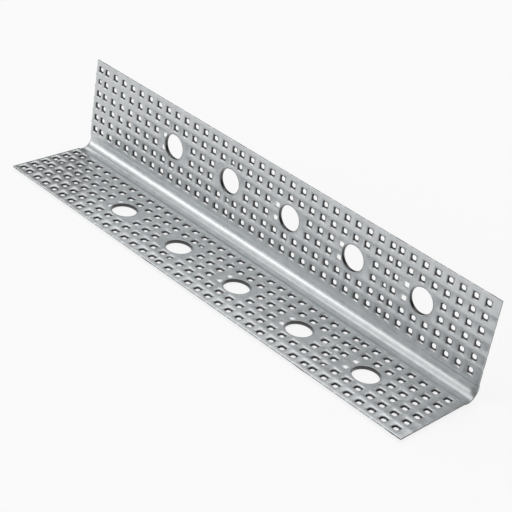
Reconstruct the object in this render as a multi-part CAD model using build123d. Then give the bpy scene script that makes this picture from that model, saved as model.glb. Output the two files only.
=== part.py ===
from build123d import *
import math
import os

# Drywall corner bead: one strip of galvanised sheet rolled to a right angle with a round nose.
# Frame: X along the length, +Z up, one leg lies flat and the other stands at the +Y side.
# The origin is under the middle of the outline, on the plane the bead rests on.

# Section
leg_width = 31.75
sheet_thickness = 0.45
nose_radius = 3.6
nose_proud = 0.35
length = 165.1

# Nail holes, punched outwards so that each has a short collar
nail_hole_radius = 4.0
nail_hole_from_edge = 13.4
nail_hole_pitch = 25.4
nail_hole_first = 39.6
collar_height = 0.75
collar_wall = 0.35

# Small pierced holes, struck by a roller that leaves a shorter gap once a turn
hole_side = 2.0
row_pitch = 4.26
row_from_edge = 2.8
column_pitch = 4.29
column_first = 2.1
roller_column_count = 15
roller_gap_short = 1.3
first_gap_column_count = 1
web_margin = 0.2
least_hole_share = 0.15

# Straight stub that the nose piece has on each side, up to where the legs start
nose_stub = 0.2

# Computed places
rest_height = collar_height - nose_proud
half_length = length / 2
nose_line = (leg_width - rest_height) / 2
inner_radius = nose_radius - sheet_thickness
leg_inner = nose_proud + sheet_thickness


def section_point(inward, along):
    """A point of the upright side, given its depth behind the nose and its height."""
    return (nose_line - inward, rest_height + along)


def mirrored(point):
    """The same point on the flat side, mirrored in the line that halves the angle."""
    return (nose_line + rest_height - point[1], nose_line + rest_height - point[0])


def crease_height(depth, radius):
    """Height at which a leg face of this depth meets the nose arc of this radius."""
    return nose_radius + math.sqrt(radius ** 2 - (nose_radius - depth) ** 2)


def nose_middle(radius):
    """The point of a nose arc that lies on the line halving the angle."""
    depth = nose_radius - radius * math.sqrt(0.5)
    return section_point(depth, depth)


leg_start = crease_height(nose_proud, nose_radius) + nose_stub
leg_reach = leg_width - leg_start


def nose():
    """The round nose with its two creases and a short straight stub on each side."""
    outer_tip = section_point(nose_proud, leg_start)
    inner_tip = section_point(leg_inner, leg_start)
    outer_crease = section_point(nose_proud, crease_height(nose_proud, nose_radius))
    inner_crease = section_point(leg_inner, crease_height(leg_inner, inner_radius))
    with BuildSketch(Plane.YZ) as outline:
        with BuildLine():
            Line(outer_tip, outer_crease)
            ThreePointArc(outer_crease, nose_middle(nose_radius), mirrored(outer_crease))
            Line(mirrored(outer_crease), mirrored(outer_tip))
            Line(mirrored(outer_tip), mirrored(inner_tip))
            Line(mirrored(inner_tip), mirrored(inner_crease))
            ThreePointArc(mirrored(inner_crease), nose_middle(inner_radius), inner_crease)
            Line(inner_crease, inner_tip)
            Line(inner_tip, outer_tip)
        make_face()
    return extrude(outline.sketch, amount=half_length, both=True)


def nail_hole_places():
    """Distance of each nail hole from the middle of the length, as many as fit."""
    places = []
    run = nail_hole_first
    while run + nail_hole_radius + collar_wall + web_margin < length:
        places.append(run - half_length)
        run += nail_hole_pitch
    return places


def column_places():
    """Distance of each column of small holes from the middle of the length, as many as fit."""
    places = []
    run = column_first
    while run + hole_side / 2 + web_margin < length:
        places.append(run - half_length)
        seam = (len(places) - first_gap_column_count) % roller_column_count == 0
        run += column_pitch - (roller_gap_short if seam else 0)
    return places


def row_places():
    """Distance of each row of small holes from the free edge of its leg, as many as fit."""
    rows = int((leg_reach - web_margin - hole_side / 2 - row_from_edge) / row_pitch) + 1
    return [row_from_edge + row * row_pitch for row in range(rows)]


def small_hole_outlines(along, from_edge):
    """Outline of one small hole, or of what a nail hole and its collar leave of it."""
    square = Pos(along, from_edge) * Rectangle(hole_side, hole_side)
    collar_reach = nail_hole_radius + collar_wall + web_margin
    across = abs(from_edge - nail_hole_from_edge)
    for place in nail_hole_places():
        offset = abs(along - place)
        if math.hypot(offset + hole_side / 2, across + hole_side / 2) <= collar_reach:
            return []
        if math.hypot(offset, across) < collar_reach + hole_side * math.sqrt(0.5):
            square = square - Pos(place, nail_hole_from_edge) * Circle(collar_reach)
    least_area = least_hole_share * hole_side ** 2
    return [face.outer_wire() for face in square.faces() if face.area > least_area]


def leg_blank():
    """One leg as a flat plate with all its holes: y runs from the free edge, +z is outwards."""
    outline = Pos(0, leg_reach / 2) * Rectangle(length, leg_reach).wire()
    nail_wires = [Pos(x, nail_hole_from_edge) * Circle(nail_hole_radius).wire() for x in nail_hole_places()]
    spots = [(x, e) for x in column_places() for e in row_places()]
    small_wires = [wire for spot in spots for wire in small_hole_outlines(*spot)]
    plate = extrude(Face(outline, nail_wires + small_wires), amount=-sheet_thickness, dir=(0, 0, 1))
    for x in nail_hole_places():
        ring = Circle(nail_hole_radius + collar_wall) - Circle(nail_hole_radius)
        plate = plate + Pos(x, nail_hole_from_edge) * extrude(ring, amount=collar_height)
    return plate


def corner_bead():
    """The finished bead as one solid."""
    top_corner = (0, nose_line - nose_proud, rest_height + leg_width)
    upright_face = Plane(origin=top_corner, x_dir=(1, 0, 0), z_dir=(0, 1, 0))
    halving = Plane(origin=(0, nose_line, rest_height), z_dir=(0, 1, 1))
    upright_leg = upright_face.location * leg_blank()
    return nose() + upright_leg + mirror(upright_leg, about=halving)


os.makedirs("parts", exist_ok=True)
bead = corner_bead()
bead.label = "corner_bead"
export_step(bead, "parts/corner_bead.step")
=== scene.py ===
"""A drywall corner bead, one strip of pierced galvanised sheet, dressed for its picture."""
import logging
import math
import random
from dataclasses import dataclass, field
from enum import Enum
from typing import Callable

import bmesh
import bpy
from mathutils import Matrix, Vector


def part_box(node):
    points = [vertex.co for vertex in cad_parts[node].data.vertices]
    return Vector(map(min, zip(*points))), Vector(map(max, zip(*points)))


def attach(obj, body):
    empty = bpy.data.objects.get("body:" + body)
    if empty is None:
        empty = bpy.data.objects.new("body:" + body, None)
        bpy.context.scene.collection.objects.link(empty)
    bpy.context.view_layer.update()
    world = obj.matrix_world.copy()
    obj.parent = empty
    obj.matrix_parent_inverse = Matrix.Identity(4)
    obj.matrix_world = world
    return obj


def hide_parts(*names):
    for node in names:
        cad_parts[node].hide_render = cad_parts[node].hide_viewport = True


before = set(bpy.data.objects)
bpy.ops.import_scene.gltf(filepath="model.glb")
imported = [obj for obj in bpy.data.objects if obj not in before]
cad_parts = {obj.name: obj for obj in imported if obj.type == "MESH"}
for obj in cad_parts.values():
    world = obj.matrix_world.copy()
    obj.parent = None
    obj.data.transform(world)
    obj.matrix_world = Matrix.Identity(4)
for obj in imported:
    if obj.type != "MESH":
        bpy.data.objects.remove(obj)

log = logging.getLogger("corner_bead")

# A place on a leg, along the length and from the free edge
Spot = tuple[float, float]
# The rings of a crater from its edge inwards, as the width of each and how much it goes down
Rings = tuple[tuple[float, float], ...]
# Red, green, blue and opacity
Colour = tuple[float, float, float, float]

# Sides of the circles of a nail hole, the same on the sheet and on the collar
ROUND_STEPS = 48
# Vertex group that notes how much the metal is stretched; its weights also set how dark the walls of
# the craters and collars are painted, as broken zinc and painted shade
STRETCHED = "crater_thinning"
# How far apart, in metres, two places in a mesh may be and still count as one
NEAR = 0.00001


class Kind(Enum):
    """What a selection in edit mode is made of."""

    POINTS = "VERT"
    LINES = "EDGE"
    FACES = "FACE"


class LegSide(Enum):
    """The two legs of the bead: one lies on the floor and one stands up."""

    FLAT = "flat"
    UPRIGHT = "upright"


def only(piece: bpy.types.Object) -> None:
    """Make one object the only one that is selected, and the active one.

    Args:
        piece: The object to select.
    """
    bpy.ops.object.select_all(action="DESELECT")
    piece.select_set(True)
    bpy.context.view_layer.objects.active = piece


def pick(piece: bpy.types.Object, kind: Kind, test: Callable[[object], bool]) -> int:
    """Select in edit mode the points, lines or faces that pass a test.

    Args:
        piece: The object being edited.
        kind: What to select.
        test: Says whether one point, line or face is taken.

    Returns:
        How many were selected.
    """
    bpy.ops.mesh.select_mode(type=kind.value)
    bpy.ops.mesh.select_all(action="DESELECT")
    shape = bmesh.from_edit_mesh(piece.data)
    items = {Kind.POINTS: shape.verts, Kind.LINES: shape.edges, Kind.FACES: shape.faces}[kind]
    taken = [item for item in items if test(item)]
    for item in taken:
        item.select_set(True)
    shape.select_flush_mode()
    bmesh.update_edit_mesh(piece.data)
    return len(taken)


def join(pieces: list[bpy.types.Object]) -> bpy.types.Object:
    """Join objects into the first of them.

    Args:
        pieces: The objects, of which the first stays.

    Returns:
        The joined object.
    """
    only(pieces[0])
    for piece in pieces[1:]:
        piece.select_set(True)
    if len(pieces) > 1:
        bpy.ops.object.join()
    return pieces[0]


def add_node(paint: bpy.types.Material, kind: str, values: dict[str, object]) -> bpy.types.Node:
    """Add a node to a material.

    Args:
        paint: The material.
        kind: The type of the node.
        values: What its inputs are set to, by their names.

    Returns:
        The node.
    """
    node = paint.node_tree.nodes.new(f"ShaderNode{kind}")
    for name, value in values.items():
        node.inputs[name].default_value = value
    return node


def settle(piece: bpy.types.Object, place: Matrix) -> None:
    """Move an object to its place and write that place into its mesh.

    Args:
        piece: The object to move.
        place: Its place in the frame.
    """
    only(piece)
    piece.matrix_world = place
    bpy.ops.object.transform_apply(location=True, rotation=True, scale=True)


@dataclass(frozen=True)
class BeadSizes:
    """Sizes of the bead in metres, those of its solid and the lead-in of its nail holes."""

    length: float = 0.1651
    leg_width: float = 0.03175
    sheet: float = 0.00045
    nose_radius: float = 0.0036
    nose_proud: float = 0.00035
    collar_height: float = 0.00075
    collar_wall: float = 0.00035
    nail_hole_radius: float = 0.004
    nail_hole_from_edge: float = 0.0134
    nail_hole_pitch: float = 0.0254
    nail_hole_first: float = 0.0396
    nail_holes: int = 5
    lead_in: float = 0.00025
    row_pitch: float = 0.00426
    row_from_edge: float = 0.0028
    rows: int = 6
    column_pitch: float = 0.00429
    column_first: float = 0.0021
    columns: int = 39
    roller_columns: int = 15
    roller_gap_short: float = 0.0013

    @property
    def inner_radius(self) -> float:
        """Radius of the inner face of the nose."""
        return self.nose_radius - self.sheet

    @property
    def mouth_radius(self) -> float:
        """Radius at which the sheet starts to turn into the collar of a nail hole."""
        return self.nail_hole_radius + self.lead_in

    @property
    def crease_drop(self) -> float:
        """Distance of the nose's centre line from the inner face of a leg."""
        return self.nose_radius - self.nose_proud - self.sheet

    @property
    def crease_run(self) -> float:
        """Distance of the crease inside the nose from the nose's centre line, along the leg."""
        return math.sqrt(self.inner_radius**2 - self.crease_drop**2)

    @property
    def crease_reach(self) -> float:
        """Distance from the free edge of a leg to the crease inside the nose."""
        return self.leg_width - self.nose_radius - self.crease_run

    def column_places(self) -> list[float]:
        """Give the place of each column of small holes along the length.

        Returns:
            The places, from the left end on, with a shorter gap once a turn of the roller.
        """
        places = []
        run = self.column_first - self.length / 2
        for count in range(self.columns):
            places.append(run)
            seam = count % self.roller_columns == 0
            run += self.column_pitch - (self.roller_gap_short if seam else 0.0)
        return places

    def row_places(self) -> list[float]:
        """Give the distance of each row of small holes from the free edge."""
        return [self.row_from_edge + row * self.row_pitch for row in range(self.rows)]

    def nail_hole_places(self) -> list[float]:
        """Give the place of each nail hole along the length."""
        first = self.nail_hole_first - self.length / 2
        return [first + step * self.nail_hole_pitch for step in range(self.nail_holes)]


@dataclass
class PiercedLeg:
    """One leg of the bead: its inner face with the struck craters and the waves between rows.

    It is modelled lying flat. Its x runs along the length, y from the free edge to the crease,
    and z out of the inner face.
    """

    side: LegSide
    sizes: BeadSizes
    corner: Vector
    crater_width: float = 0.0031
    crater_near: float = 0.0001
    rings: Rings = ((0.0003, 0.00006), (0.00041, 0.0003), (0.00009, 0.00036))
    weak_rings: Rings = ((0.00038, 0.00005), (0.00045, 0.00018), (0.00012, 0.00032))
    weak_share: float = 0.3
    weak_seed: int = 17
    seam_share: float = 0.95
    stray_marks: tuple[Spot, ...] = ()
    stray_depth: float = 0.0003
    corner_rounding: float = 0.00044
    corner_steps: int = 2
    least_slant: float = 0.6
    wave_height: float = 0.00024
    column_wave_height: float = 0.00006
    wave_clear_of_nail_hole: float = 0.0063
    edge_strip: float = 0.0005
    trimmed_hole: float = 0.0017
    trimmed_clear: float = 0.00025
    least_trimmed: float = 0.0005
    plug_sheets: int = 6
    weld: float = 0.000005
    cut_near: float = 0.000001
    end_gap: float = 0.000004

    def place(self) -> Matrix:
        """Give the turn and shift that take the flat-lying leg to its place on the bead.

        Returns:
            The turn and shift as one matrix.
        """
        if self.side is LegSide.FLAT:
            height = self.sizes.collar_height + self.sizes.sheet
            return Matrix.Translation((0.0, self.corner.y, height))
        face = -self.corner.y - self.sizes.collar_height - self.sizes.sheet
        turn = Matrix(((-1, 0, 0, 0), (0, 0, -1, 0), (0, -1, 0, 0), (0, 0, 0, 1)))
        return Matrix.Translation((0.0, face, self.corner.z)) @ turn

    def along(self, places: list[float]) -> list[float]:
        """Give places along the length in the leg's own direction of x."""
        return places if self.side is LegSide.FLAT else sorted(-place for place in places)

    def cut_lines(self, places: list[float]) -> tuple[list[float], list[float]]:
        """Give the lines that bound the craters, and the ridge lines midway between them.

        Args:
            places: Middles of a row or column of craters, in order.

        Returns:
            The bounding lines and the ridge lines.
        """
        half = self.crater_width / 2
        bounds = [place + step for place in places for step in (-half, half)]
        gaps = zip(places, places[1:])
        ridges = [(a + b) / 2 for a, b in gaps if b - a > self.crater_width + self.edge_strip]
        return bounds, ridges

    def clear_of_nail_holes(self, x: float, y: float) -> bool:
        """Say whether a point is far enough from every nail hole for the waves to reach it.

        Args:
            x: Where it is along the length.
            y: Its distance from the free edge.

        Returns:
            Whether it is clear of them all.
        """
        across = y - self.sizes.nail_hole_from_edge
        places = self.along(self.sizes.nail_hole_places())
        return all(math.hypot(x - place, across) > self.wave_clear_of_nail_hole for place in places)

    def blank(self) -> bpy.types.Object:
        """Model the leg as a plate divided at the bounding and ridge lines.

        Returns:
            The divided plate, its upper face at height zero, in object mode.
        """
        bpy.ops.object.select_all(action="DESELECT")
        bpy.ops.mesh.primitive_cube_add(size=1.0, enter_editmode=True, location=(0, 0, 0))
        leg = bpy.context.object
        leg.name = f"{self.side.value}_leg"
        reach = self.sizes.crease_reach
        bpy.ops.transform.resize(value=(self.sizes.length - self.end_gap, reach, self.sizes.sheet))
        bpy.ops.transform.translate(value=(0.0, reach / 2, -self.sizes.sheet / 2))
        bounds, ridges = self.cut_lines(self.along(self.sizes.column_places()))
        for line in bounds + ridges:
            self.divide((line, 0.0, 0.0), (1.0, 0.0, 0.0))
        bounds, ridges = self.cut_lines(self.sizes.row_places())
        for line in bounds + ridges + [self.edge_strip, reach - self.edge_strip]:
            self.divide((0.0, line, 0.0), (0.0, 1.0, 0.0))
        bpy.ops.object.mode_set(mode="OBJECT")
        return leg

    def crater_spots(self) -> tuple[list[Spot], list[Spot]]:
        """Sort the craters into whole ones and ones that a nail hole trims.

        Returns:
            The middles of the whole craters, and of those that are trimmed.
        """
        whole, trimmed = [], []
        half = self.crater_width / 2
        mouth = self.sizes.mouth_radius
        nails = self.along(self.sizes.nail_hole_places())
        for x in self.along(self.sizes.column_places()):
            for y in self.sizes.row_places():
                across = abs(y - self.sizes.nail_hole_from_edge)
                offset = min(abs(x - place) for place in nails)
                nearest = math.hypot(max(0.0, offset - half), max(0.0, across - half))
                if nearest > mouth:
                    whole.append((x, y))
                elif math.hypot(offset, across) > mouth + self.least_trimmed:
                    trimmed.append((x, y))
        return whole, trimmed

    def plugs(self, radius: float) -> bpy.types.Object:
        """Model round plugs for all the nail holes.

        Args:
            radius: Radius of each plug.

        Returns:
            The plugs as one object.
        """
        made = []
        depth = self.plug_sheets * self.sizes.sheet
        for x in self.along(self.sizes.nail_hole_places()):
            bpy.ops.object.select_all(action="DESELECT")
            place = (x, self.sizes.nail_hole_from_edge, 0.0)
            bpy.ops.mesh.primitive_cylinder_add(
                vertices=ROUND_STEPS, radius=radius, depth=depth, location=place
            )
            made.append(bpy.context.object)
        return join(made)

    def take_away(self, body: bpy.types.Object, tool: bpy.types.Object) -> None:
        """Cut one closed shape out of another.

        Args:
            body: The shape that is cut.
            tool: The shape that is taken away, and used up.
        """
        only(body)
        cut = body.modifiers.new("cut", "BOOLEAN")
        cut.operation = "DIFFERENCE"
        cut.solver = "EXACT"
        cut.object = tool
        bpy.ops.object.modifier_apply(modifier=cut.name)
        bpy.data.objects.remove(tool)

    def open_nail_holes(self, leg: bpy.types.Object) -> None:
        """Cut the round openings and the trimmed small holes, and keep the upper face alone.

        Args:
            leg: The divided plate, in object mode, which ends in edit mode.
        """
        punches = []
        for x, y in self.crater_spots()[1]:
            bpy.ops.object.select_all(action="DESELECT")
            bpy.ops.mesh.primitive_cube_add(size=self.trimmed_hole, location=(x, y, 0.0))
            punches.append(bpy.context.object)
        punch = join(punches)
        mouth = self.sizes.mouth_radius
        self.take_away(punch, self.plugs(mouth + self.trimmed_clear))
        self.take_away(leg, punch)
        self.take_away(leg, self.plugs(mouth))
        bpy.ops.object.mode_set(mode="EDIT")
        pick(leg, Kind.FACES, lambda face: face.calc_center_bounds().z < -NEAR)
        bpy.ops.mesh.delete(type="FACE")
        bpy.ops.mesh.select_all(action="SELECT")
        bpy.ops.mesh.remove_doubles(threshold=self.weld)

    def divide(self, point: tuple[float, float, float], normal: tuple[float, float, float]) -> None:
        """Divide the whole plate at one line.

        Args:
            point: A point on the line.
            normal: The direction across it.
        """
        bpy.ops.mesh.select_all(action="SELECT")
        bpy.ops.mesh.bisect(plane_co=point, plane_no=normal, threshold=self.cut_near)

    def raise_waves(self, leg: bpy.types.Object) -> None:
        """Lift the ridges between the rows, and a little between the columns.

        Args:
            leg: The struck face, in edit mode.
        """
        inner_edge = self.sizes.crease_reach - self.edge_strip
        row_ridges = self.cut_lines(self.sizes.row_places())[1]
        column_ridges = self.cut_lines(self.along(self.sizes.column_places()))[1]

        def on_line(value: float, lines: list[float]) -> bool:
            """Say whether a place lies on one of the lines."""
            return any(abs(value - line) < NEAR for line in lines)

        def on_row_ridge(point: bmesh.types.BMVert) -> bool:
            """Say whether a point is lifted with a ridge between rows."""
            x, y, _ = point.co
            return on_line(y, row_ridges) and self.clear_of_nail_holes(x, y)

        def on_column_ridge(point: bmesh.types.BMVert) -> bool:
            """Say whether a point is lifted with a ridge between columns.

            Args:
                point: A point of the face.

            Returns:
                Whether it lies on a ridge, away from the edges and the nail holes.
            """
            x, y, _ = point.co
            lifted = self.edge_strip < y < inner_edge and on_line(x, column_ridges)
            return lifted and self.clear_of_nail_holes(x, y)

        def is_stray(point: bmesh.types.BMVert) -> bool:
            """Say whether a point is the crossing of ridges that a stray mark hit.

            Args:
                point: A point of the face.

            Returns:
                Whether a stray mark is nearer to it than half a column.
            """
            x, y, _ = point.co
            crosses = on_line(y, row_ridges) and on_line(x, column_ridges)
            near = self.sizes.column_pitch / 2
            return crosses and any(math.hypot(x - a, y - b) < near for a, b in self.stray_marks)

        pick(leg, Kind.POINTS, on_row_ridge)
        bpy.ops.transform.translate(value=(0.0, 0.0, self.wave_height))
        pick(leg, Kind.POINTS, on_column_ridge)
        bpy.ops.transform.translate(value=(0.0, 0.0, self.column_wave_height))
        if pick(leg, Kind.POINTS, is_stray):
            bpy.ops.transform.translate(value=(0.0, 0.0, -self.stray_depth))

    def strike(self, leg: bpy.types.Object) -> None:
        """Sink every crater in steps to its hole, some of those beside a seam as weaker strikes.

        Args:
            leg: The divided face, in edit mode.
        """
        chance = random.Random(self.weak_seed)
        columns = self.along(self.sizes.column_places())
        short = self.seam_share * self.sizes.column_pitch
        seams = [b for a, b in zip(columns, columns[1:]) if b - a < short]
        spots = self.crater_spots()[0]
        weak = [spot for spot in spots if spot[0] in seams and chance.random() < self.weak_share]
        full = [spot for spot in spots if spot not in weak]
        self.sink(leg, full, self.rings)
        self.sink(leg, weak, self.weak_rings)

    def sink(self, leg: bpy.types.Object, spots: list[Spot], rings: Rings) -> None:
        """Inset the crater faces ring by ring, each deeper, and open the last.

        Args:
            leg: The face, in edit mode.
            spots: Middles of the craters.
            rings: Width of each ring, and how much it goes down.
        """

        def is_crater(face: bmesh.types.BMFace) -> bool:
            """Say whether a face is the square of one of these craters.

            Args:
                face: A face of the leg.

            Returns:
                Whether the middle of a crater is in its middle.
            """
            a, b, _ = face.calc_center_bounds()
            near = self.crater_near
            return any(abs(a - x) < near and abs(b - y) < near for x, y in spots)

        if not pick(leg, Kind.FACES, is_crater):
            return
        for width, depth in rings:
            bpy.ops.mesh.inset(use_individual=True, thickness=width, depth=-depth)
        bpy.ops.mesh.delete(type="FACE")

    def round_corners(self, leg: bpy.types.Object) -> None:
        """Round the corners of the craters, apart from their outermost ring.

        Args:
            leg: The struck and waved face, in edit mode.
        """
        highest = -self.rings[0][1] / 2

        def is_corner(line: bmesh.types.BMEdge) -> bool:
            """Say whether a line runs down a corner of a crater.

            Args:
                line: A line of the face.

            Returns:
                Whether it lies below the outermost ring and slants across the grid.
            """
            first, second = (point.co for point in line.verts)
            short, long = sorted((abs(first.x - second.x), abs(first.y - second.y)))
            return max(first.z, second.z) < highest and short > self.least_slant * long

        pick(leg, Kind.LINES, is_corner)
        bpy.ops.mesh.bevel(offset=self.corner_rounding, segments=self.corner_steps, affect="EDGES")

    def note_thinning(self, leg: bpy.types.Object) -> None:
        """Note how much the metal of each crater is stretched, from its edge to its lip.

        Args:
            leg: The finished face, in object mode.
        """
        group = leg.vertex_groups.new(name=STRETCHED)
        deepest = sum(depth for _, depth in self.rings)
        for point in leg.data.vertices:
            if point.co.z < -NEAR:
                group.add([point.index], math.sqrt(min(1.0, -point.co.z / deepest)), "REPLACE")

    def build(self) -> bpy.types.Object:
        """Model the leg's inner face and put it in its place.

        Returns:
            The inner face as a sheet with no thickness yet.
        """
        leg = self.blank()
        self.open_nail_holes(leg)
        self.strike(leg)
        self.raise_waves(leg)
        self.round_corners(leg)
        bpy.ops.object.mode_set(mode="OBJECT")
        self.note_thinning(leg)
        settle(leg, self.place())
        log.info("%s leg: %d faces", self.side.value, len(leg.data.polygons))
        return leg


@dataclass
class NailHoleCollar:
    """The short collar round a nail hole, where the punch turned the sheet outwards."""

    sizes: BeadSizes
    dark_below: float = 0.00008
    lead_in_share: float = 0.95
    lead_in_steps: int = 5
    rim_rounding: float = 0.00008
    root_rounding: float = 0.00015
    rounding_steps: int = 2
    weld: float = 0.000002
    # Share of near-black for the collar wall below the sheet: painted shade in the hole, with the
    # uncoated steel of its sheared edge.
    wall_torn_and_shaded: float = 1.0

    def section(self) -> bpy.types.Object:
        """Model the section of the collar, with its lead-in and rounded rim.

        Returns:
            The outline of the section in the x-z plane, in edit mode.
        """
        inner = self.sizes.nail_hole_radius
        wall = self.sizes.collar_wall
        outer = inner + wall
        sheet = self.sizes.sheet
        height = self.sizes.collar_height
        bpy.ops.object.select_all(action="DESELECT")
        bpy.ops.mesh.primitive_plane_add(size=1.0, rotation=(math.pi / 2, 0, 0))
        collar = bpy.context.object
        collar.name = "nail_hole_collar"
        bpy.ops.object.transform_apply(location=True, rotation=True, scale=True)
        bpy.ops.object.mode_set(mode="EDIT")
        bpy.ops.mesh.select_all(action="SELECT")
        bpy.ops.transform.resize(value=(wall, 1.0, height))
        bpy.ops.transform.translate(value=(inner + wall / 2, 0.0, -sheet - height / 2))

        def is_root(line: bmesh.types.BMEdge) -> bool:
            """Say whether a line is where the collar meets the outer face of the sheet."""
            return all(abs(point.co.z + sheet) < NEAR for point in line.verts)

        def is_upper_side(line: bmesh.types.BMEdge) -> bool:
            """Say whether a line is the part of the collar's outer side that is in the sheet.

            Args:
                line: A line of the section.

            Returns:
                Whether both its ends are on the outer side, at the sheet's outer face or above.
            """
            return all(
                abs(point.co.x - outer) < NEAR and point.co.z > -sheet - NEAR for point in line.verts
            )

        pick(collar, Kind.LINES, is_root)
        bpy.ops.mesh.extrude_region_move(TRANSFORM_OT_translate={"value": (0.0, 0.0, sheet)})
        pick(collar, Kind.LINES, is_upper_side)
        reach = self.sizes.mouth_radius - outer
        bpy.ops.mesh.extrude_region_move(TRANSFORM_OT_translate={"value": (reach, 0.0, 0.0)})
        bpy.ops.mesh.select_all(action="SELECT")
        bpy.ops.mesh.dissolve_faces()
        rim = -sheet - height
        lead_in = self.sizes.lead_in * self.lead_in_share
        self.round_points(collar, [(inner, 0.0)], lead_in, self.lead_in_steps)
        self.round_points(collar, [(inner, rim), (outer, rim)], self.rim_rounding, self.rounding_steps)
        self.round_points(collar, [(outer, -sheet)], self.root_rounding, self.rounding_steps)
        bpy.ops.mesh.select_all(action="SELECT")
        bpy.ops.mesh.delete(type="ONLY_FACE")
        return collar

    def round_points(
        self, collar: bpy.types.Object, corners: list[tuple[float, float]], size: float, steps: int
    ) -> None:
        """Round some corners of the section.

        Args:
            collar: The section, in edit mode.
            corners: Radius and height of each corner.
            size: How far the rounding reaches along the sides.
            steps: How many steps it has.
        """

        def is_corner(point: bmesh.types.BMVert) -> bool:
            """Say whether a point is one of these corners."""
            return any(math.hypot(point.co.x - x, point.co.z - z) < NEAR for x, z in corners)

        pick(collar, Kind.POINTS, is_corner)
        bpy.ops.mesh.bevel(offset=size, segments=steps, affect="VERTICES")

    def build(self) -> bpy.types.Object:
        """Spin the section round the axis of the hole.

        Returns:
            The collar, with its axis on z and its mouth at height zero.
        """
        collar = self.section()
        bpy.ops.mesh.select_all(action="SELECT")
        bpy.ops.mesh.spin(steps=ROUND_STEPS, angle=math.tau, center=(0, 0, 0), axis=(0, 0, 1))
        bpy.ops.mesh.select_all(action="SELECT")
        bpy.ops.mesh.remove_doubles(threshold=self.weld)
        bpy.ops.mesh.normals_make_consistent(inside=False)
        bpy.ops.object.mode_set(mode="OBJECT")
        # The collar wall takes full weight, so the finish paints it near-black as painted shade in the
        # hole.
        group = collar.vertex_groups.new(name=STRETCHED)
        walls = [point.index for point in collar.data.vertices if point.co.z < -self.dark_below]
        group.add(walls, self.wall_torn_and_shaded, "REPLACE")
        log.info("nail hole collar: %d faces", len(collar.data.polygons))
        return collar


@dataclass
class RolledNose:
    """The round nose between the legs, rolled over its centre line from crease to crease."""

    sizes: BeadSizes
    corner: Vector
    steps: int = 18
    weld: float = 0.00002
    crease_rounding: float = 0.00022
    crease_steps: int = 2

    @property
    def centre(self) -> Vector:
        """The middle of the nose's round, seen along the length.

        Returns:
            A point of the centre line, halfway along the bead.
        """
        floor_gap = self.sizes.collar_height - self.sizes.nose_proud
        rise = self.sizes.nose_radius
        return Vector((0.0, -self.corner.y - floor_gap - rise, floor_gap + rise))

    def crease(self, angle: float) -> Vector:
        """Give the place of an inner crease from its direction at the centre line, in radians."""
        radius = self.sizes.inner_radius
        return self.centre + Vector((0.0, radius * math.cos(angle), radius * math.sin(angle)))

    def add_to(self, strip: bpy.types.Object) -> None:
        """Spin the flat leg's crease over to the upright leg's and join them.

        Args:
            strip: The two legs as one object, which gains the nose.
        """
        start = math.atan2(-self.sizes.crease_drop, -self.sizes.crease_run)
        sweep = 2 * (-math.pi / 4 - start)
        creases = [self.crease(start), self.crease(start + sweep)]

        def lies_on(line: bmesh.types.BMEdge, crease: Vector) -> bool:
            """Say whether a line lies on a crease.

            Args:
                line: A line of the surface.
                crease: A point of the crease.

            Returns:
                Whether both its ends are on the crease, seen along the length.
            """
            return all(
                math.hypot(point.co.y - crease.y, point.co.z - crease.z) < NEAR for point in line.verts
            )

        only(strip)
        bpy.ops.object.mode_set(mode="EDIT")
        pick(strip, Kind.LINES, lambda line: lies_on(line, creases[0]))
        bpy.ops.mesh.spin(steps=self.steps, angle=-sweep, center=tuple(self.centre), axis=(1, 0, 0))
        bpy.ops.mesh.select_all(action="SELECT")
        bpy.ops.mesh.remove_doubles(threshold=self.weld)
        bpy.ops.mesh.select_all(action="SELECT")
        bpy.ops.mesh.normals_make_consistent(inside=False)
        self.face_inwards(strip)
        pick(strip, Kind.LINES, lambda line: any(lies_on(line, crease) for crease in creases))
        bpy.ops.mesh.bevel(offset=self.crease_rounding, segments=self.crease_steps, affect="EDGES")
        bpy.ops.object.mode_set(mode="OBJECT")
        log.info("nose: strip now has %d faces", len(strip.data.polygons))

    def face_inwards(self, strip: bpy.types.Object) -> None:
        """Turn the whole surface so that its front is the inner side of the angle.

        Args:
            strip: The joined surface, in edit mode.
        """
        faces = bmesh.from_edit_mesh(strip.data).faces
        on_flat_leg = [face for face in faces if face.calc_center_bounds().y < 0]
        largest = max(on_flat_leg, key=lambda face: face.calc_area())
        if largest.normal.z < 0:
            bpy.ops.mesh.select_all(action="SELECT")
            bpy.ops.mesh.flip_normals()


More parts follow.
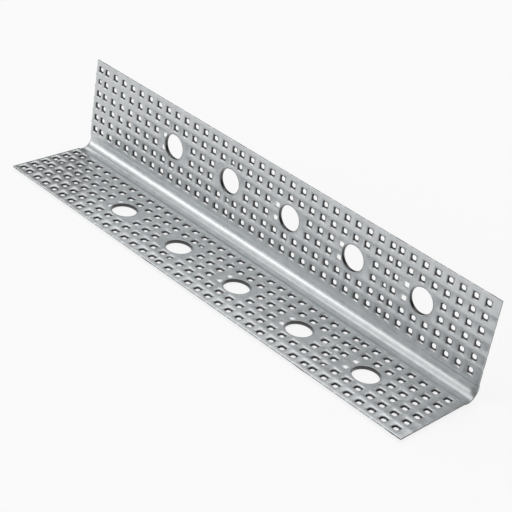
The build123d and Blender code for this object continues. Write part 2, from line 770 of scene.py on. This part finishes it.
@dataclass(frozen=True)
class GalvanisedSteel:
    """Zinc-coated sheet: soft grey metal with fine spangle and roller streaks."""

    name: str = "galvanised_steel"
    colour: Colour = (0.64, 0.66, 0.67, 1.0)
    shade: Colour = (0.54, 0.56, 0.57, 1.0)
    # Near-black for the darkened parts: uncoated steel where the zinc broke, and painted shade in the
    # crater and collar walls.
    bare_steel_and_painted_shade: Colour = (0.08, 0.08, 0.083, 1.0)
    ramp: tuple[float, float] = (0.25, 0.75)
    # Point attribute that holds the share of near-black, broken zinc and painted shade together.
    torn_zinc_and_shade: str = "torn_zinc_and_shade"
    torn_and_shade_from: float = 0.1
    torn_and_shade_full: float = 0.42
    metallic: float = 0.82
    roughness_low: float = 0.26
    roughness_high: float = 0.35
    streak_stretch: tuple[float, float, float] = (0.12, 1.0, 1.0)
    streak_scale: float = 900.0
    streak_detail: float = 4.0
    streak_strength: float = 0.03
    streak_depth: float = 0.00003
    spangle_scale: float = 420.0
    spangle_share: float = 0.45
    cloud_scale: float = 90.0
    cloud_detail: float = 5.0

    def material(self) -> bpy.types.Material:
        """Make the node material.

        Returns:
            The finished material.
        """
        steel = bpy.data.materials.new(self.name)
        steel.use_nodes = True
        links = steel.node_tree.links
        shader = steel.node_tree.nodes["Principled BSDF"]
        shader.inputs["Metallic"].default_value = self.metallic
        place = add_node(steel, "TexCoord", {}).outputs["Object"]
        zinc = self.zinc_colour(steel, place)
        links.new(self.torn_and_shaded_colour(steel, zinc), shader.inputs["Base Color"])
        streaks = self.streaks(steel, place)
        gloss_range = {"To Min": self.roughness_low, "To Max": self.roughness_high}
        gloss = add_node(steel, "MapRange", gloss_range)
        links.new(streaks, gloss.inputs["Value"])
        links.new(gloss.outputs["Result"], shader.inputs["Roughness"])
        relief = {"Strength": self.streak_strength, "Distance": self.streak_depth}
        bump = add_node(steel, "Bump", relief)
        links.new(streaks, bump.inputs["Height"])
        links.new(bump.outputs["Normal"], shader.inputs["Normal"])
        return steel

    def streaks(self, steel: bpy.types.Material, place: bpy.types.NodeSocket) -> bpy.types.NodeSocket:
        """Make the fine streaks that the rollers leave along the length.

        Args:
            steel: The material.
            place: Where a point of the bead is.

        Returns:
            The strength of the streaks.
        """
        links = steel.node_tree.links
        stretch = add_node(steel, "Mapping", {"Scale": self.streak_stretch})
        links.new(place, stretch.inputs["Vector"])
        noise = add_node(steel, "TexNoise", {"Scale": self.streak_scale, "Detail": self.streak_detail})
        links.new(stretch.outputs["Vector"], noise.inputs["Vector"])
        return noise.outputs["Fac"]

    def zinc_colour(
        self, steel: bpy.types.Material, place: bpy.types.NodeSocket
    ) -> bpy.types.NodeSocket:
        """Make the colour of whole zinc, with its spangle and soft clouds.

        Args:
            steel: The material.
            place: Where a point of the bead is.

        Returns:
            The colour.
        """
        links = steel.node_tree.links
        spangle = add_node(steel, "TexVoronoi", {"Scale": self.spangle_scale})
        cloud = add_node(steel, "TexNoise", {"Scale": self.cloud_scale, "Detail": self.cloud_detail})
        for pattern in (spangle, cloud):
            links.new(place, pattern.inputs["Vector"])
        mottle = add_node(steel, "Mix", {"Factor": self.spangle_share})
        mottle.data_type = "FLOAT"
        links.new(cloud.outputs["Fac"], mottle.inputs[2])
        links.new(spangle.outputs["Distance"], mottle.inputs[3])
        tint = add_node(steel, "ValToRGB", {})
        for stop, at, colour in zip(tint.color_ramp.elements, self.ramp, (self.shade, self.colour)):
            stop.position = at
            stop.color = colour
        links.new(mottle.outputs[0], tint.inputs["Fac"])
        return tint.outputs["Color"]

    def torn_and_shaded_colour(
        self, steel: bpy.types.Material, zinc: bpy.types.NodeSocket
    ) -> bpy.types.NodeSocket:
        """Darken the zinc towards near-black where the bead's points note it: uncoated steel where the
        zinc broke at the lips and sheared edges, and painted shade down the crater and collar walls.

        Args:
            steel: The material.
            zinc: The colour of whole zinc.

        Returns:
            The colour.
        """
        links = steel.node_tree.links
        # Reads the share of near-black, which is partly painted shade in the hollows.
        tear_and_shade = add_node(steel, "Attribute", {})
        tear_and_shade.attribute_name = self.torn_zinc_and_shade
        share = add_node(steel, "MapRange", {"From Min": self.torn_and_shade_from, "From Max": self.torn_and_shade_full})
        links.new(tear_and_shade.outputs["Fac"], share.inputs["Value"])
        skin_and_shade = add_node(steel, "Mix", {})
        skin_and_shade.data_type = "RGBA"
        skin_and_shade.inputs[7].default_value = self.bare_steel_and_painted_shade
        links.new(share.outputs["Result"], skin_and_shade.inputs["Factor"])
        links.new(zinc, skin_and_shade.inputs[6])
        return skin_and_shade.outputs[2]


@dataclass
class CornerBead:
    """The whole bead: two pierced legs, the nose between them and the nail hole collars."""

    sizes: BeadSizes = field(default_factory=BeadSizes)
    lip_share: float = 0.3
    edge_rounding: float = 0.0001
    edge_steps: int = 2
    least_edge_angle: float = 40.0
    outline_near: float = 0.000005
    smooth_below: float = 50.0
    # Share of near-black for the sheared edges: uncoated cut steel, darkened further as painted shade
    # along the outline.
    sheared_torn_and_shaded: float = 0.4
    flat_wave_height: float = 0.00007
    flat_marks: tuple[Spot, ...] = (
        (0.0685, 0.0209),
        (0.07, 0.0186),
        (0.072, 0.0142),
        (0.0652, 0.0208),
        (0.064, 0.0121),
        (0.0405, 0.0208),
        (0.0421, 0.0123),
        (0.0162, 0.0165),
        (-0.0098, 0.0208),
        (-0.0321, 0.0078),
        (-0.0576, 0.0165),
    )
    upright_marks: tuple[Spot, ...] = ((0.0745, 0.0208), (0.0232, 0.0208))

    def thicken(self, strip: bpy.types.Object) -> None:
        """Give the surface the thickness of the sheet, thinner at the lips of the craters.

        Args:
            strip: The inner surface of the bead.
        """
        only(strip)
        wall = strip.modifiers.new("sheet_thickness", "SOLIDIFY")
        wall.thickness = self.sizes.sheet
        wall.offset = -1.0
        wall.vertex_group = STRETCHED
        wall.invert_vertex_group = True
        wall.thickness_vertex_group = self.lip_share
        wall.use_even_offset = False
        bpy.ops.object.modifier_apply(modifier=wall.name)

    def spots(self, legs: list[PiercedLeg]) -> list[Matrix]:
        """Give the place of every nail hole.

        Args:
            legs: The legs that have the holes.

        Returns:
            The turn and shift that take the model of one hole to each place.
        """
        across = self.sizes.nail_hole_from_edge
        return [
            leg.place() @ Matrix.Translation((x, across, 0.0))
            for leg in legs
            for x in leg.along(self.sizes.nail_hole_places())
        ]

    def copies(self, model: bpy.types.Object, spots: list[Matrix]) -> bpy.types.Object:
        """Copy a model to each spot, each copy with its own mesh, and join the copies.

        Args:
            model: The model, which is used up.
            spots: The places of the copies.

        Returns:
            The joined copies.
        """
        made = []
        for spot in spots:
            copy = model.copy()
            copy.data = model.data.copy()
            bpy.context.collection.objects.link(copy)
            settle(copy, spot)
            made.append(copy)
        bpy.data.objects.remove(model)
        return join(made)

    def round_outline(self, strip: bpy.types.Object, low: Vector, high: Vector) -> None:
        """Round the sheared edges of the strip a little.

        Args:
            strip: The thick sheet.
            low: Lowest corner of the bead's box.
            high: Highest corner of the bead's box.
        """
        only(strip)
        bpy.ops.object.mode_set(mode="EDIT")

        def on_outline(point: bmesh.types.BMVert) -> tuple[bool, ...]:
            """Say on which sides of the bead's box a point lies.

            Args:
                point: A point of the thick sheet.

            Returns:
                Whether it is at an end, at the flat leg's edge and at the upright leg's edge.
            """
            x, y, z = point.co
            gaps = (abs(x) - high.x, y - low.y, z - high.z)
            return tuple(abs(gap) < self.outline_near for gap in gaps)

        def is_sheared(line: bmesh.types.BMEdge) -> bool:
            """Say whether a line is a sharp edge along a sheared side.

            Args:
                line: A line of the thick sheet.

            Returns:
                Whether both its ends are on one sheared side and its faces make a sharp angle.
            """
            first, second = (on_outline(point) for point in line.verts)
            together = any(a and b for a, b in zip(first, second))
            return together and line.calc_face_angle(0.0) > math.radians(self.least_edge_angle)

        count = pick(strip, Kind.LINES, is_sheared)
        bpy.ops.mesh.bevel(offset=self.edge_rounding, segments=self.edge_steps, affect="EDGES")
        bpy.ops.object.mode_set(mode="OBJECT")
        log.info("outline: %d edges rounded", count)

    def note_torn_and_shade(self, bead: bpy.types.Object, name: str, low: Vector, high: Vector) -> None:
        """Note for each point how far its zinc is darkened, for the finish to read: uncoated steel at
        the sheared edges and hole lips, and painted shade deeper in the craters and down the collar
        walls.

        Args:
            bead: The finished bead, in object mode.
            name: What the finish calls it.
            low: Lowest corner of the bead's box.
            high: Highest corner of the bead's box.
        """

        def share(point: bpy.types.MeshVertex) -> float:
            """Give the share of near-black at a point, as broken zinc and painted shade.

            Args:
                point: A point of the bead.

            Returns:
                The share, between none and one.
            """
            x, y, z = point.co
            near = self.outline_near
            if abs(x) > high.x - near or y < low.y + near or z > high.z - near:
                return self.sheared_torn_and_shaded
            # Deeper crater points and collar walls take more near-black: painted shade in the hollows,
            # beyond the broken zinc at the lips.
            return max([entry.weight for entry in point.groups], default=0.0) ** 2

        torn_zinc_and_shade = bead.data.attributes.new(name, "FLOAT", "POINT")
        torn_zinc_and_shade.data.foreach_set("value", [share(point) for point in bead.data.vertices])

    def build(self, finish: GalvanisedSteel) -> bpy.types.Object:
        """Build the bead and dress it.

        Args:
            finish: The finish of the sheet.

        Returns:
            The finished piece.
        """
        low, high = (Vector(corner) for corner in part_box("corner_bead"))
        corner = Vector((high.x, low.y, high.z))
        flat = PiercedLeg(
            LegSide.FLAT,
            self.sizes,
            corner,
            wave_height=self.flat_wave_height,
            stray_marks=self.flat_marks,
        )
        upright = PiercedLeg(LegSide.UPRIGHT, self.sizes, corner, stray_marks=self.upright_marks)
        legs = [flat, upright]
        strip = join([leg.build() for leg in legs])
        strip.name = "pierced_strip"
        RolledNose(self.sizes, corner).add_to(strip)
        self.thicken(strip)
        self.round_outline(strip, low, high)
        collars = self.copies(NailHoleCollar(self.sizes).build(), self.spots(legs))
        bead = join([strip, collars])
        # Darkens broken zinc and paints shade into the crater and collar walls.
        self.note_torn_and_shade(bead, finish.torn_zinc_and_shade, low, high)
        bead.data.materials.append(finish.material())
        only(bead)
        bpy.ops.object.shade_smooth_by_angle(angle=math.radians(self.smooth_below))
        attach(bead, "root")
        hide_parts("corner_bead")
        return bead


@dataclass(frozen=True)
class StudioFloor:
    """A plain white floor, part of whose white is its own to the eye and in reflections."""

    width: float = 12.0
    colour: Colour = (0.95, 0.95, 0.95, 1.0)
    lift: float = 0.8

    def build(self) -> bpy.types.Object:
        """Lay the floor.

        Returns:
            The floor.
        """
        bpy.ops.object.select_all(action="DESELECT")
        bpy.ops.mesh.primitive_plane_add(size=self.width, location=(0, 0, 0))
        floor = bpy.context.object
        floor.name = "studio_floor"
        paint = bpy.data.materials.new("studio_white")
        paint.use_nodes = True
        matt = paint.node_tree.nodes["Principled BSDF"]
        matt.inputs["Base Color"].default_value = self.colour
        matt.inputs["Roughness"].default_value = 1.0
        matt.inputs["Specular IOR Level"].default_value = 0.0
        self.lift_white(paint, matt)
        floor.data.materials.append(paint)
        return floor

    def lift_white(self, paint: bpy.types.Material, matt: bpy.types.Node) -> None:
        """Lift the floor towards white for the camera, for reflections and through clear things.

        Args:
            paint: The floor's material.
            matt: Its matt shader.
        """
        links = paint.node_tree.links
        ray = add_node(paint, "LightPath", {})
        seen = ray.outputs["Is Camera Ray"]
        for kind in ("Is Glossy Ray", "Is Transmission Ray"):
            either = add_node(paint, "Math", {})
            either.operation = "MAXIMUM"
            links.new(seen, either.inputs[0])
            links.new(ray.outputs[kind], either.inputs[1])
            seen = either.outputs["Value"]
        share = add_node(paint, "Math", {})
        share.operation = "MULTIPLY"
        share.inputs[1].default_value = self.lift
        links.new(seen, share.inputs[0])
        glow = add_node(paint, "Emission", {})
        blend = add_node(paint, "MixShader", {})
        links.new(share.outputs["Value"], blend.inputs["Fac"])
        links.new(matt.outputs["BSDF"], blend.inputs[1])
        links.new(glow.outputs["Emission"], blend.inputs[2])
        output = paint.node_tree.nodes["Material Output"]
        links.new(blend.outputs["Shader"], output.inputs["Surface"])


@dataclass(frozen=True)
class Softbox:
    """A square lamp that faces the bead."""

    name: str
    place: tuple[float, float, float]
    size: float
    power: float

    def build(self) -> bpy.types.Object:
        """Hang the lamp.

        Returns:
            The lamp.
        """
        data = bpy.data.lights.new(self.name, "AREA")
        data.shape = "SQUARE"
        data.size = self.size
        data.energy = self.power
        lamp = bpy.data.objects.new(self.name, data)
        lamp.location = self.place
        lamp.rotation_euler = Vector(self.place).to_track_quat("Z", "Y").to_euler()
        bpy.context.collection.objects.link(lamp)
        return lamp


@dataclass(frozen=True)
class PhotoCamera:
    """The camera, at the angle of the photograph."""

    azimuth: float = 40.64
    elevation: float = 30.28
    roll: float = 9.91
    aim: tuple[float, float, float] = (0.00617, 0.00534, 0.00806)
    distance: float = 0.4065
    lens: float = 98.3
    clip_start: float = 0.01

    def build(self) -> bpy.types.Object:
        """Place the camera and make it the scene's.

        Returns:
            The camera.
        """
        turn = math.radians(self.azimuth)
        tilt = math.radians(self.elevation)
        level = math.cos(tilt)
        back = Vector((math.sin(turn) * level, -math.cos(turn) * level, math.sin(tilt)))
        right = Vector((math.cos(turn), math.sin(turn), 0.0))
        up = back.cross(right)
        roll = math.radians(self.roll)
        rolled_right = math.cos(roll) * right + math.sin(roll) * up
        rolled_up = math.cos(roll) * up - math.sin(roll) * right
        data = bpy.data.cameras.new("photo_camera")
        data.lens = self.lens
        data.clip_start = self.clip_start
        camera = bpy.data.objects.new("photo_camera", data)
        axes = Matrix((rolled_right, rolled_up, back)).transposed().to_4x4()
        camera.matrix_world = Matrix.Translation(Vector(self.aim) + back * self.distance) @ axes
        bpy.context.collection.objects.link(camera)
        bpy.context.scene.camera = camera
        return camera


@dataclass(frozen=True)
class EvenLight:
    """The even light from all round."""

    strength: float = 0.07
    colour: Colour = (1.0, 1.0, 1.0, 1.0)

    def build(self) -> bpy.types.World:
        """Set the light and make it the scene's.

        Returns:
            The world that holds it.
        """
        world = bpy.data.worlds.new("studio_world")
        world.use_nodes = True
        sky = world.node_tree.nodes["Background"]
        sky.inputs["Color"].default_value = self.colour
        sky.inputs["Strength"].default_value = self.strength
        bpy.context.scene.world = world
        return world


@dataclass(frozen=True)
class Studio:
    """The floor, the lamps and the even light that the bead is shown in."""

    lamps: tuple[Softbox, ...] = (
        Softbox("high_softbox", place=(-0.45, 0.62, 2.9), size=4.8, power=99.0),
        Softbox("front_low_softbox", place=(-1.92, -2.24, 0.62), size=1.4, power=10.5),
        Softbox("front_softbox", place=(-1.69, -1.96, 1.52), size=2.0, power=15.0),
        Softbox("camera_softbox", place=(1.69, -1.97, 1.51), size=1.0, power=7.5),
    )

    def build(self) -> None:
        """Lay the floor, hang the lamps and set the even light."""
        StudioFloor().build()
        for lamp in self.lamps:
            lamp.build()
        EvenLight().build()


def main() -> None:
    """Build the bead, the studio and the camera."""
    logging.basicConfig(level=logging.INFO, format="%(name)s %(message)s")
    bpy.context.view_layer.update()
    bead = CornerBead().build(GalvanisedSteel())
    log.info("%s: %d faces", bead.name, len(bead.data.polygons))
    Studio().build()
    PhotoCamera().build()
    bpy.context.scene.view_settings.view_transform = "Standard"


if __name__ == "__main__":
    main()
